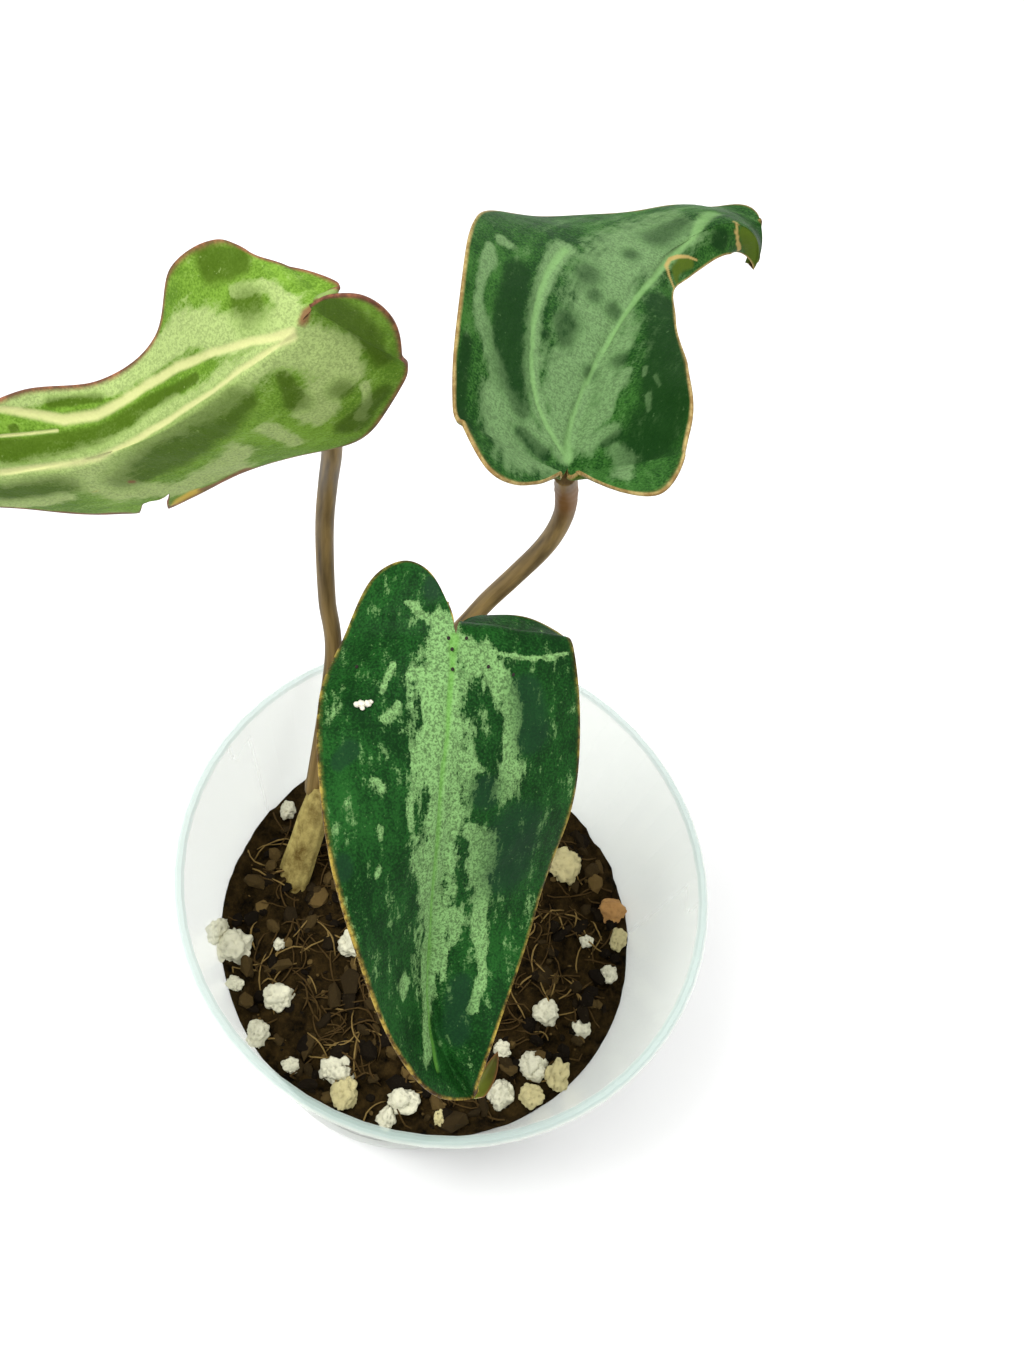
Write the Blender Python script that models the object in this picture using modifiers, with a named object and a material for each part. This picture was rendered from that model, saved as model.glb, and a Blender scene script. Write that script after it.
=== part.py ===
"""Velvet-leaved anthurium with three heart-shaped blades, rooted in a clear tapered pot of bark mix.

Z is up, the pot's foot rests on Z = 0 and the pot's axis is the Z axis. +Y points away from the viewer.
"""
import math
import random

import bmesh
import bpy
import numpy as np
from mathutils import Vector

MM = 0.001
MERGE = 0.00001

# Pot
POT_HEIGHT = 75.0 * MM
FOOT_RADIUS = 31.8 * MM
MOUTH_RADIUS = 46.6 * MM
LIP_RADIUS = 47.5 * MM
LIP_HEIGHT = 1.6 * MM
POT_WALL = 1.0 * MM
POT_FLOOR = 1.5 * MM
POT_STEPS = 56

# Potting mix
SOIL_LEVEL = 44.7 * MM
SOIL_GAP = 0.35 * MM
SOIL_STEPS = 40
SOIL_ROUGHNESS = 1.4 * MM
LUMP_COUNT = 22
LUMP_RADIUS = (2.0 * MM, 3.6 * MM)
LUMP_SEED = 7

# Crown: the short stub of stem that the petioles leave from
CROWN_FOOT = Vector((-28.2, -3.3, 36.8)) * MM
CROWN_TOP = Vector((-27.3, 14.3, 59.7)) * MM
CROWN_RADIUS = 3.9 * MM
CROWN_GAP = 0.35 * MM

# Petioles, the long leaf stalks
PETIOLE_RADIUS = 1.6 * MM
PETIOLE_SIDES = 2
SWELLING_RADIUS = 1.8 * MM

# Blades
BLADE_THICKNESS = 0.7 * MM
MIDRIB_THICKNESS = 1.7 * MM
VEIN_THICKNESS = 1.05 * MM
BLADE_ROWS = 31
BLADE_COLUMNS = (0.0, 0.05, 0.15, 0.3, 0.45, 0.6, 0.76, 0.89, 1.0)
VEIN_COLUMN = 4
EDGE_WAVE = 0.35 * MM

# Outline of half a blade in blade lengths: distance from the midrib and distance along it
HALF_OUTLINE = (
    (0.0, 0.0), (0.014, -0.055), (0.05, -0.12), (0.11, -0.155), (0.17, -0.145),
    (0.222, -0.07), (0.26, 0.05), (0.275, 0.2), (0.262, 0.35), (0.232, 0.5),
    (0.19, 0.64), (0.137, 0.78), (0.073, 0.905), (0.0, 1.0),
)
LOBE_END = 5
WIDEST = 0.275

# Stations along a blade at which its angles are stated, in blade lengths from the petiole
STATIONS = (-0.16, 0.0, 0.2, 0.4, 0.6, 0.8, 1.0)

FRONT_BLADE = {
    "joint": Vector((-9.5, 4.9, 143.0)) * MM,
    "length": 76.0 * MM,
    "heading": (166, 160, 159, 166, 163, 140, 102),
    "dip": (-7, 9, 38, 54, 51, 43, 44),
    "roll": (-8, -1, 11, 21, 23, 7, -28),
    "fold": {1: (-17, -12, 4, 20, 30, 36, 42), -1: (-8, -12, -9, -3, 5, 28, 70)},
    "cup": {1: (-25, -23, -15, -8, -5, -3, -2), -1: (-8, -11, -11, -12, -17, -22, -22)},
    "lobe": {1: 21, -1: -37},
    "edge": {
        1: (1, 1, 1, 1, 0.98, 0.94, 0.92, 0.94, 0.99, 1.02, 1.04, 1.03, 1.01, 1),
        -1: (1, 1, 1, 0.99, 0.99, 0.99, 0.99, 1.05, 1.1, 1.15, 1.15, 1.1, 1.02, 1),
    },
    "slide": {1: (0,) * 14, -1: (0,) * 14},
    "stalk_drop": 2.0 * MM,
    "waves": 5,
}
RIGHT_BLADE = {
    "joint": Vector((-2.1, 23.1, 162.8)) * MM,
    "length": 74.0 * MM,
    "heading": (-8, -5, 0, 5, 20, 45, 121),
    "dip": (-17, 2, 0, -3, 9, 5, 101),
    "roll": (-5, -2, -1, -7, -20, -22, -32),
    "fold": {1: (28, 32, 32, 20, -17, -31, -44), -1: (7, 12, 14, 6, -22, -41, -51)},
    "cup": {1: (21, 27, 32, 33, 26, 20, 12), -1: (26, 23, 17, 5, -24, -29, -76)},
    "lobe": {1: 49, -1: 42},
    "edge": {
        1: (1, 1, 1, 1, 0.97, 0.98, 0.95, 0.76, 0.45, 0.3, 0.36, 0.49, 0.79, 1),
        -1: (1, 1, 1, 0.98, 0.96, 0.98, 1.02, 1.09, 1.26, 1.39, 1.35, 1.2, 2.42, 1),
    },
    "slide": {
        1: (0, 0, 0, 0, 0, 0, 0, 0.01, 0.049, 0.061, 0.032, -0.028, 0.008, 0),
        -1: (0, 0, 0, 0, 0, 0, 0, 0, 0.016, -0.015, -0.002, -0.028, 0.08, 0),
    },
    "stalk_drop": 1.25 * MM,
    "waves": 4,
}
LEFT_BLADE = {
    "joint": Vector((-39.5, 21.1, 176.1)) * MM,
    "length": 74.0 * MM,
    "heading": (-172, -141, -110, -103, -106, -109, -112),
    "dip": (46, 46, 52, 45, 29, 16, 5),
    "roll": (-9, 15, 31, 34, 36, 42, 44),
    "fold": {1: (-17, -11, -6, -7, 8, 25, 39), -1: (-35, -46, -55, -63, -57, -53, -49)},
    "cup": {1: (6, 9, 12, 12, 14, 17, 19), -1: (-21, -22, -22, -25, -23, -23, -22)},
    "lobe": {1: -38, -1: 56},
    "edge": {
        1: (1, 0.14, 0.2, 0.14, 0.47, 0.63, 0.86, 0.89, 0.65, 0.58, 0.81, 0.95, 1, 1),
        -1: (1, 1, 1, 0.99, 0.98, 0.98, 1.07, 1.12, 1.03, 1.06, 1.27, 1.01, 1.01, 1),
    },
    "slide": {
        1: (0, 0.032, 0.051, 0.054, 0.065, 0.047, -0.008, 0.009, -0.005, -0.007, 0.012, 0, 0, 0),
        -1: (0, 0, 0, 0, 0.007, -0.001, -0.003, -0.007, -0.037, -0.071, 0, -0.003, 0, 0),
    },
    "stalk_drop": 4.4 * MM,
    "waves": 5,
    "bite": {"side": -1, "at": 9.6, "half_width": 0.22, "depth": 0.16},
}

# Paths of the petioles from the crown up to just under the blades
FRONT_PATH = (
    Vector((-25.3, 13.3, 61.3)) * MM,
    Vector((-22.5, 15.2, 80.0)) * MM,
    Vector((-17.0, 15.0, 100.0)) * MM,
    Vector((-12.5, 11.5, 121.0)) * MM,
)
RIGHT_PATH = (
    Vector((-26.1, 16.9, 61.3)) * MM,
    Vector((-21.0, 23.5, 80.0)) * MM,
    Vector((-16.0, 26.5, 95.0)) * MM,
    Vector((-11.0, 27.1, 109.0)) * MM,
    Vector((-8.0, 28.3, 118.0)) * MM,
    Vector((-5.2, 28.7, 126.0)) * MM,
    Vector((-2.3, 29.2, 134.5)) * MM,
    Vector((-1.0, 29.0, 141.0)) * MM,
    Vector((-0.7, 28.5, 147.0)) * MM,
    Vector((-1.4, 26.8, 154.0)) * MM,
)
LEFT_PATH = (
    Vector((-29.5, 14.9, 61.3)) * MM,
    Vector((-32.1, 28.6, 83.0)) * MM,
    Vector((-35.2, 31.8, 97.0)) * MM,
    Vector((-36.8, 32.9, 110.0)) * MM,
    Vector((-37.3, 32.8, 120.0)) * MM,
    Vector((-37.1, 32.0, 130.0)) * MM,
    Vector((-35.9, 28.0, 142.9)) * MM,
    Vector((-35.8, 25.7, 152.0)) * MM,
    Vector((-36.8, 24.6, 159.1)) * MM,
)


def clear_scene():
    for item in list(bpy.data.objects):
        bpy.data.objects.remove(item, do_unlink=True)


def plain_material(name, colour, roughness, alpha=1.0):
    made = bpy.data.materials.new(name)
    made.use_nodes = True
    shader = made.node_tree.nodes["Principled BSDF"]
    shader.inputs["Base Color"].default_value = (*colour, 1.0)
    shader.inputs["Roughness"].default_value = roughness
    shader.inputs["Alpha"].default_value = alpha
    return made


def new_collection(name):
    made = bpy.data.collections.new(name)
    bpy.context.scene.collection.children.link(made)
    return made


def mesh_object(name, mesh, material, home):
    made = bpy.data.objects.new(name, mesh)
    home.objects.link(made)
    mesh.materials.clear()
    mesh.materials.append(material)
    mesh.shade_smooth()
    return made


def applied_mesh(item, name):
    bpy.context.view_layer.update()
    shown = item.evaluated_get(bpy.context.evaluated_depsgraph_get())
    mesh = bpy.data.meshes.new_from_object(shown)
    mesh.name = name
    mesh.transform(item.matrix_world)
    return mesh


def weld(mesh):
    work = bmesh.new()
    work.from_mesh(mesh)
    bmesh.ops.remove_doubles(work, verts=work.verts, dist=MERGE)
    bmesh.ops.dissolve_degenerate(work, edges=work.edges, dist=MERGE)
    bmesh.ops.recalc_face_normals(work, faces=work.faces)
    work.to_mesh(mesh)
    work.free()


def turned(name, profile, steps, material, home):
    mesh = bpy.data.meshes.new(name + "_profile")
    edges = [(i, i + 1) for i in range(len(profile) - 1)]
    mesh.from_pydata([(r, 0.0, z) for r, z in profile], edges, [])
    item = bpy.data.objects.new(name + "_profile", mesh)
    home.objects.link(item)
    screw = item.modifiers.new("Turn", "SCREW")
    screw.axis = "Z"
    screw.angle = math.tau
    screw.steps = steps
    screw.render_steps = steps
    screw.use_merge_vertices = True
    screw.merge_threshold = MERGE
    solid = applied_mesh(item, name)
    bpy.data.objects.remove(item, do_unlink=True)
    weld(solid)
    return mesh_object(name, solid, material, home)


def cut_or_join(target, tool, operation, cutters):
    cutters.objects.link(tool)
    tool.hide_render = True
    tool.display_type = "WIRE"
    change = target.modifiers.new(operation.title(), "BOOLEAN")
    change.object = tool
    change.operation = operation
    change.solver = "EXACT"
    result = applied_mesh(target, target.name)
    target.modifiers.clear()
    target.data = result
    weld(result)


def wall_radius(height):
    share = height / POT_HEIGHT
    return FOOT_RADIUS + (MOUTH_RADIUS - FOOT_RADIUS) * share


def build_pot(home):
    lip_low = POT_HEIGHT - LIP_HEIGHT
    inner_top = MOUTH_RADIUS - POT_WALL
    profile = [
        (0.0, POT_FLOOR),
        (FOOT_RADIUS - 2.2 * MM, POT_FLOOR),
        (wall_radius(3.0 * MM) - POT_WALL, 3.0 * MM),
        (wall_radius(40.0 * MM) - POT_WALL, 40.0 * MM),
        (inner_top, POT_HEIGHT - 0.5 * MM),
        (inner_top + 0.5 * MM, POT_HEIGHT),
        (LIP_RADIUS - 0.7 * MM, POT_HEIGHT),
        (LIP_RADIUS, POT_HEIGHT - 0.8 * MM),
        (LIP_RADIUS, lip_low + 0.4 * MM),
        (LIP_RADIUS - 0.4 * MM, lip_low),
        (wall_radius(lip_low), lip_low),
        (wall_radius(40.0 * MM), 40.0 * MM),
        (wall_radius(1.5 * MM), 1.5 * MM),
        (FOOT_RADIUS - 1.2 * MM, 0.0),
        (0.0, 0.0),
    ]
    clear = plain_material("clear_plastic", (0.86, 0.91, 0.89), 0.18, 0.35)
    return turned("pot", profile, POT_STEPS, clear, home)


def soil_surface(x, y):
    ripple = math.sin(0.31 * x / MM + 1.1) * math.cos(0.27 * y / MM - 0.4)
    fine = 0.5 * math.sin(0.74 * x / MM - 0.9 * y / MM) * math.cos(0.83 * y / MM + 0.3)
    return SOIL_ROUGHNESS * (ripple + fine) * 0.6


def build_potting_mix(home, cutters):
    base = POT_FLOOR + SOIL_GAP
    gap = POT_WALL + SOIL_GAP
    edge = wall_radius(SOIL_LEVEL) - gap
    profile = [(0.0, SOIL_LEVEL)]
    profile += [(edge * k / 7, SOIL_LEVEL) for k in range(1, 8)]
    profile += [
        (wall_radius(40.0 * MM) - gap, 40.0 * MM),
        (wall_radius(5.0 * MM) - gap - 0.3 * MM, 5.0 * MM),
        (FOOT_RADIUS - 3.6 * MM, base),
        (0.0, base),
    ]
    brown = plain_material("potting_mix", (0.07, 0.045, 0.028), 0.95)
    soil = turned("potting_mix", profile, SOIL_STEPS, brown, home)
    for vertex in soil.data.vertices:
        if vertex.co.z > SOIL_LEVEL - 1.0 * MM:
            vertex.co.z += soil_surface(vertex.co.x, vertex.co.y)
    add_lumps(soil, edge, cutters)
    hole = straight_rod("crown_hole", CROWN_FOOT, CROWN_TOP, CROWN_RADIUS + CROWN_GAP, 1.0 * MM)
    cut_or_join(soil, hole, "DIFFERENCE", cutters)
    return soil


def lump_places(edge):
    picker = random.Random(LUMP_SEED)
    places = []
    while len(places) < LUMP_COUNT:
        radius = picker.uniform(*LUMP_RADIUS)
        reach = (edge - radius * 1.35) * math.sqrt(picker.uniform(0.12, 1.0))
        turn = picker.uniform(0.0, math.tau)
        x = reach * math.cos(turn)
        y = reach * math.sin(turn)
        near_crown = math.hypot(x - CROWN_FOOT.x, y - CROWN_FOOT.y - 3.0 * MM) < radius + 7.5 * MM
        crowded = any(math.hypot(x - p[0], y - p[1]) < (radius + p[2]) * 1.15 for p in places)
        if not near_crown and not crowded:
            places.append((x, y, radius))
    return places


def add_lumps(soil, edge, cutters):
    shaper = random.Random(LUMP_SEED + 1)
    for number, (x, y, radius) in enumerate(lump_places(edge)):
        work = bmesh.new()
        bmesh.ops.create_icosphere(work, subdivisions=1, radius=radius)
        stretch = Vector((shaper.uniform(0.85, 1.2), shaper.uniform(0.85, 1.2), shaper.uniform(0.65, 0.9)))
        for vertex in work.verts:
            dent = shaper.uniform(0.86, 1.1)
            vertex.co = Vector([c * s for c, s in zip(vertex.co, stretch)]) * dent
            vertex.co += Vector((x, y, SOIL_LEVEL + soil_surface(x, y) + radius * 0.25))
        mesh = bpy.data.meshes.new(f"lump_{number}")
        work.to_mesh(mesh)
        work.free()
        cut_or_join(soil, bpy.data.objects.new(f"lump_{number}", mesh), "UNION", cutters)


def straight_rod(name, foot, top, radius, extra):
    along = (top - foot).normalized()
    start = foot - along * extra
    end = top + along * extra
    return bpy.data.objects.new(name, tube(name, [start, end], [radius, radius], 3))


def tube(name, points, radii, fineness):
    curve = bpy.data.curves.new(name, "CURVE")
    curve.dimensions = "3D"
    curve.bevel_depth = 1.0
    curve.bevel_resolution = fineness
    curve.use_fill_caps = True
    line = curve.splines.new("POLY")
    line.points.add(len(points) - 1)
    for spot, point, radius in zip(line.points, points, radii):
        spot.co = (*point, 1.0)
        spot.radius = radius
    item = bpy.data.objects.new(name, curve)
    bpy.context.scene.collection.objects.link(item)
    mesh = applied_mesh(item, name)
    bpy.data.objects.remove(item, do_unlink=True)
    weld(mesh)
    return mesh


def smooth_curve(values, places):
    values = np.asarray(values, float)
    last = len(values) - 1
    base = np.clip(np.floor(places).astype(int), 0, last - 1)
    part = (places - base)[:, None]
    before = values[np.clip(base - 1, 0, last)]
    start = values[base]
    end = values[base + 1]
    after = values[np.clip(base + 2, 0, last)]
    before = np.where((base == 0)[:, None], 2 * start - end, before)
    after = np.where((base == last - 1)[:, None], 2 * end - start, after)
    cubic = 3 * start - before - 3 * end + after
    square = 2 * before - 5 * start + 4 * end - after
    return 0.5 * (2 * start + (end - before) * part + square * part**2 + cubic * part**3)


def path_points(path, count):
    return [Vector(p) for p in smooth_curve([tuple(p) for p in path], np.linspace(0, len(path) - 1, count))]


def angles_along(degrees, along):
    places = np.interp(along, STATIONS, np.arange(len(STATIONS)))
    return np.radians(smooth_curve(np.asarray(degrees, float)[:, None], places)[:, 0])


def blade_frame(leaf):
    along = np.linspace(STATIONS[0], 1.0, 121)
    heading = angles_along(leaf["heading"], along)
    dip = angles_along(leaf["dip"], along)
    roll = angles_along(leaf["roll"], along)[:, None]
    forward = np.stack([np.sin(heading) * np.cos(dip), np.cos(heading) * np.cos(dip), -np.sin(dip)], 1)
    level = np.stack([np.cos(heading), -np.sin(heading), 0 * heading], 1)
    across = np.cos(roll) * level + np.sin(roll) * np.cross(level, forward)
    up = np.cross(across, forward)
    steps = np.diff(along)[:, None] * leaf["length"] * 0.5 * (forward[1:] + forward[:-1])
    line = np.concatenate([np.zeros((1, 3)), np.cumsum(steps, 0)])
    joint = np.array([np.interp(0.0, along, line[:, k]) for k in range(3)])
    line += np.array(leaf["joint"]) - joint
    return along, line, forward, across, up


def blade_points(leaf, out, on, side):
    along, *frame = blade_frame(leaf)
    line, forward, across, up = [
        np.stack([np.interp(on, along, part[:, k]) for k in range(3)], 1) for part in frame
    ]
    length = leaf["length"]
    fold = angles_along(leaf["fold"][side], on)
    cup = angles_along(leaf["cup"][side], on)
    curl = np.where(np.abs(cup) < 0.0001, 0.0001, cup) / (WIDEST * length)
    flat = np.sin(curl * out * length) / curl
    rise = (1 - np.cos(curl * out * length)) / curl
    sideways = flat * np.cos(fold) - rise * np.sin(fold)
    lift = flat * np.sin(fold) + rise * np.cos(fold)
    behind = np.clip(-on, 0.0, None)
    bend = math.radians(leaf["lobe"][side]) * np.clip(behind / 0.06, 0.0, 1.0)
    lift = lift + behind * length * np.sin(bend)
    shift = behind * length * (1 - np.cos(bend))
    return line + side * sideways[:, None] * across + lift[:, None] * up + shift[:, None] * forward


def blade_rows(leaf, side):
    rows = np.linspace(0.0, len(HALF_OUTLINE) - 1, BLADE_ROWS)
    bite = leaf.get("bite")
    if bite and bite["side"] == side:
        extra = bite["at"] + bite["half_width"] * np.array([-1.1, -0.5, 0.1, 0.6, 1.0])
        rows = rows[np.abs(rows - bite["at"]) > bite["half_width"] * 1.3]
        rows = np.sort(np.concatenate([rows, extra]))
    return rows


def blade_grid(leaf, side):
    rows = blade_rows(leaf, side)
    outline = np.array(HALF_OUTLINE, float)
    outline[:, 0] *= np.array(leaf["edge"][side], float)
    outline[:, 1] += np.array(leaf["slide"][side], float)
    edge = smooth_curve(outline, rows)
    edge[:, 0] = np.abs(edge[:, 0])
    last = len(HALF_OUTLINE) - 1
    root = np.clip((rows - LOBE_END) / (last - LOBE_END), 0.0, 1.0)
    bite = leaf.get("bite")
    if bite and bite["side"] == side:
        depth = bite["depth"] * np.clip(1 - np.abs(rows - bite["at"]) / bite["half_width"], 0, 1)
        edge[:, 0] *= 1 - depth
    fade = np.sin(np.pi * rows / last)
    columns = []
    for share in BLADE_COLUMNS:
        out = edge[:, 0] * share
        on = root + (edge[:, 1] - root) * share
        spots = blade_points(leaf, out, on, side)
        up = blade_up(leaf, on)
        wave = EDGE_WAVE * share**3 * fade * np.sin(rows * leaf["waves"] * 0.55 + side)
        columns.append(spots + wave[:, None] * up)
    return np.stack(columns, 1)


def blade_up(leaf, on):
    along, line, forward, across, up = blade_frame(leaf)
    return np.stack([np.interp(on, along, up[:, k]) for k in range(3)], 1)


def thickness_share(column):
    if column == 0:
        wanted = MIDRIB_THICKNESS
    elif column == 1:
        wanted = 0.5 * (MIDRIB_THICKNESS + BLADE_THICKNESS)
    elif column == VEIN_COLUMN:
        wanted = VEIN_THICKNESS
    else:
        wanted = BLADE_THICKNESS
    return wanted / MIDRIB_THICKNESS


def build_blade(name, leaf, colour, home):
    work = bmesh.new()
    layer = work.verts.layers.deform.verify()
    for side in (1, -1):
        grid = blade_grid(leaf, side)
        net = []
        for row in grid:
            line = []
            for column, spot in enumerate(row):
                vertex = work.verts.new(spot)
                vertex[layer][0] = thickness_share(column)
                line.append(vertex)
            net.append(line)
        for low, high in zip(net, net[1:]):
            for k in range(len(low) - 1):
                corners = [low[k], low[k + 1], high[k + 1], high[k]]
                if side > 0:
                    corners.reverse()
                work.faces.new(corners)
    bmesh.ops.remove_doubles(work, verts=work.verts, dist=MERGE)
    bmesh.ops.triangulate(work, faces=work.faces, quad_method="FIXED")
    bmesh.ops.dissolve_degenerate(work, edges=work.edges, dist=MERGE)
    mesh = bpy.data.meshes.new(name)
    work.to_mesh(mesh)
    work.free()
    open_blade = bpy.data.objects.new(name + "_surface", mesh)
    home.objects.link(open_blade)
    open_blade.vertex_groups.new(name="thickness")
    body = open_blade.modifiers.new("Thickness", "SOLIDIFY")
    body.thickness = MIDRIB_THICKNESS
    body.offset = -1.0
    body.use_rim = True
    body.vertex_group = "thickness"
    solid = applied_mesh(open_blade, name)
    bpy.data.objects.remove(open_blade, do_unlink=True)
    weld(solid)
    return mesh_object(name, solid, plain_material(name, colour, 0.55), home)


def under_joint(leaf):
    up = blade_up(leaf, np.array([0.0]))[0]
    return leaf["joint"] - Vector(up) * leaf["stalk_drop"]


def build_petiole(name, path, leaf, swollen, home):
    whole = list(path) + [under_joint(leaf)]
    count = 3 * len(path) + 4
    points = path_points(whole, count)
    radii = []
    for k in range(count):
        share = k / (count - 1)
        radius = PETIOLE_RADIUS * (1.12 - 0.12 * min(1.0, share * 4))
        if swollen:
            bump = math.exp(-(((share - 0.84) / 0.09) ** 2))
            radius += (SWELLING_RADIUS - PETIOLE_RADIUS) * bump
        radii.append(radius)
    shape = tube(name, points, radii, PETIOLE_SIDES)
    olive = plain_material(name, (0.22, 0.15, 0.05), 0.6)
    return mesh_object(name, shape, olive, home)


def build_crown(home):
    middle = (CROWN_FOOT + CROWN_TOP) * 0.5
    radii = [CROWN_RADIUS, CROWN_RADIUS, CROWN_RADIUS * 0.94]
    shape = tube("crown", [CROWN_FOOT, middle, CROWN_TOP], radii, 3)
    tan = plain_material("crown", (0.35, 0.26, 0.12), 0.75)
    return mesh_object("crown", shape, tan, home)


def main():
    clear_scene()
    home = new_collection("anthurium_in_pot")
    cutters = new_collection("cutters")
    build_pot(home)
    build_potting_mix(home, cutters)
    build_crown(home)
    build_petiole("petiole_front", FRONT_PATH, FRONT_BLADE, False, home)
    build_petiole("petiole_right", RIGHT_PATH, RIGHT_BLADE, True, home)
    build_petiole("petiole_left", LEFT_PATH, LEFT_BLADE, False, home)
    build_blade("blade_front", FRONT_BLADE, (0.03, 0.12, 0.04), home)
    build_blade("blade_right", RIGHT_BLADE, (0.05, 0.17, 0.06), home)
    build_blade("blade_left", LEFT_BLADE, (0.22, 0.33, 0.1), home)


main()
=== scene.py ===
"""Velvet-leaved anthurium with three heart-shaped blades in a clear tapered pot of bark mix."""

import math
import random

import bmesh
import bpy
import numpy as np
from mathutils import Matrix, Vector, noise


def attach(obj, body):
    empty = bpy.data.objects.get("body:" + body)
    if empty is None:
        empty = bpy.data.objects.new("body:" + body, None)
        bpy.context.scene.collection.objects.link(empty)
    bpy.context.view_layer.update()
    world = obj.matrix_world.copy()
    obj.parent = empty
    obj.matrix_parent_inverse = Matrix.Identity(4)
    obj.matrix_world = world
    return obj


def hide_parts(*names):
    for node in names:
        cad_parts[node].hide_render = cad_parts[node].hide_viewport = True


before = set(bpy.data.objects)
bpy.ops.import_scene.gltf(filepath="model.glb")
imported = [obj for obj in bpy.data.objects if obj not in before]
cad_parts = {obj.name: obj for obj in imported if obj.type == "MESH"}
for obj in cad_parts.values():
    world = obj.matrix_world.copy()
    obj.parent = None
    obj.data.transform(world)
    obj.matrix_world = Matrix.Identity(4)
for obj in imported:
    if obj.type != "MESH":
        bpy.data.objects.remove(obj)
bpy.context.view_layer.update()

# Floor, light and camera: a plain pale floor under soft studio light.
# Three large disc lamps stand round the plant, and the camera looks steeply down from the front.
MM = 0.001
FLOOR_HALF_SIZE = 3.0
LAMP_AIM = Vector((0.0, 0.0, 0.12))
SENSOR_HEIGHT = 36.0
FOCAL_LENGTH_PX = 1500.0
PHOTO_HEIGHT_PX = 1365.0
CAMERA_PLACE = Vector((0.0, -105.2, 320.2)) * MM
CAMERA_PITCH = math.radians(59.2)
CAMERA_LEAN = math.radians(18.6)


def finished(work, name, smooth=True):
    mesh = bpy.data.meshes.new(name)
    work.to_mesh(mesh)
    work.free()
    if smooth:
        mesh.shade_smooth()
    made = bpy.data.objects.new(name, mesh)
    scene.collection.objects.link(made)
    return made


def new_look(name, roughness, specular=0.5, colour=(0.8, 0.8, 0.8)):
    look = bpy.data.materials.new(name)
    look.use_nodes = True
    inputs = look.node_tree.nodes["Principled BSDF"].inputs
    inputs["Roughness"].default_value = roughness
    inputs["Specular IOR Level"].default_value = specular
    inputs["Base Color"].default_value = (*colour, 1.0)
    return look


scene = bpy.context.scene
scene.view_settings.view_transform = "Standard"
scene.view_settings.look = "None"

world = bpy.data.worlds.new("studio")
world.use_nodes = True
world.node_tree.nodes["Background"].inputs["Color"].default_value = (1.0, 1.0, 1.0, 1.0)
world.node_tree.nodes["Background"].inputs["Strength"].default_value = 0.55
scene.world = world

work = bmesh.new()
bmesh.ops.create_grid(work, x_segments=1, y_segments=1, size=FLOOR_HALF_SIZE)
floor = finished(work, "floor", smooth=False)
floor.data.materials.append(new_look("floor", 0.9, colour=(0.88, 0.88, 0.88)))

for name, place, size, power in (
    ("key_light", (-0.42, -0.18, 0.95), 0.4, 9.0),
    ("fill_light", (0.65, -0.25, 0.75), 0.7, 3.0),
    ("back_light", (0.1, 0.7, 0.7), 0.6, 3.0),
):
    data = bpy.data.lights.new(name, "AREA")
    data.shape = "DISK"
    data.size = size
    data.energy = power
    lamp = bpy.data.objects.new(name, data)
    scene.collection.objects.link(lamp)
    lamp.location = place
    lamp.rotation_euler = (LAMP_AIM - Vector(place)).to_track_quat("-Z", "Y").to_euler()

camera_data = bpy.data.cameras.new("camera")
camera_data.sensor_fit = "VERTICAL"
camera_data.sensor_height = SENSOR_HEIGHT
camera_data.lens = SENSOR_HEIGHT * FOCAL_LENGTH_PX / PHOTO_HEIGHT_PX
camera_data.clip_start = 0.01
camera = bpy.data.objects.new("camera", camera_data)
scene.collection.objects.link(camera)
ahead = Vector((0.0, math.cos(CAMERA_PITCH), -math.sin(CAMERA_PITCH)))
level = Vector((1.0, 0.0, 0.0))
upright = level.cross(ahead)
across = level * math.cos(CAMERA_LEAN) + upright * math.sin(CAMERA_LEAN)
above = upright * math.cos(CAMERA_LEAN) - level * math.sin(CAMERA_LEAN)
turned = Matrix((across, above, -ahead)).transposed()
camera.matrix_world = Matrix.Translation(CAMERA_PLACE) @ turned.to_4x4()
scene.camera = camera


# Pot: a thin cup of clear, slightly milky plastic with a rolled lip, formed in one piece.
# Its solid has the shape already, so only its plastic is set here. It stands on the floor.
# The lip's topmost half millimetre is painted darker and more opaque, as painted shade where the plastic
# is seen edge on.
POT_FOOT_RADIUS = 31.8
POT_RIM_RADIUS = 46.6
POT_HEIGHT = 75.0
LIP_BAND = (74.2 * MM, 74.7 * MM)
WALL_ALPHA, LIP_SHADE_ALPHA = 0.30, 0.60
WALL_COLOUR, LIP_SHADE_COLOUR = (0.90, 0.97, 0.88, 1.0), (0.40, 0.52, 0.48, 1.0)
pot_look = new_look("clear_plastic", 0.22)
pot_look.surface_render_method = "BLENDED"
nodes, links = pot_look.node_tree.nodes, pot_look.node_tree.links
shader = nodes["Principled BSDF"]
shader.inputs["Coat Weight"].default_value = 0.15
shader.inputs["Coat Roughness"].default_value = 0.3
where = nodes.new("ShaderNodeTexCoord")
parts = nodes.new("ShaderNodeSeparateXYZ")
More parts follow.
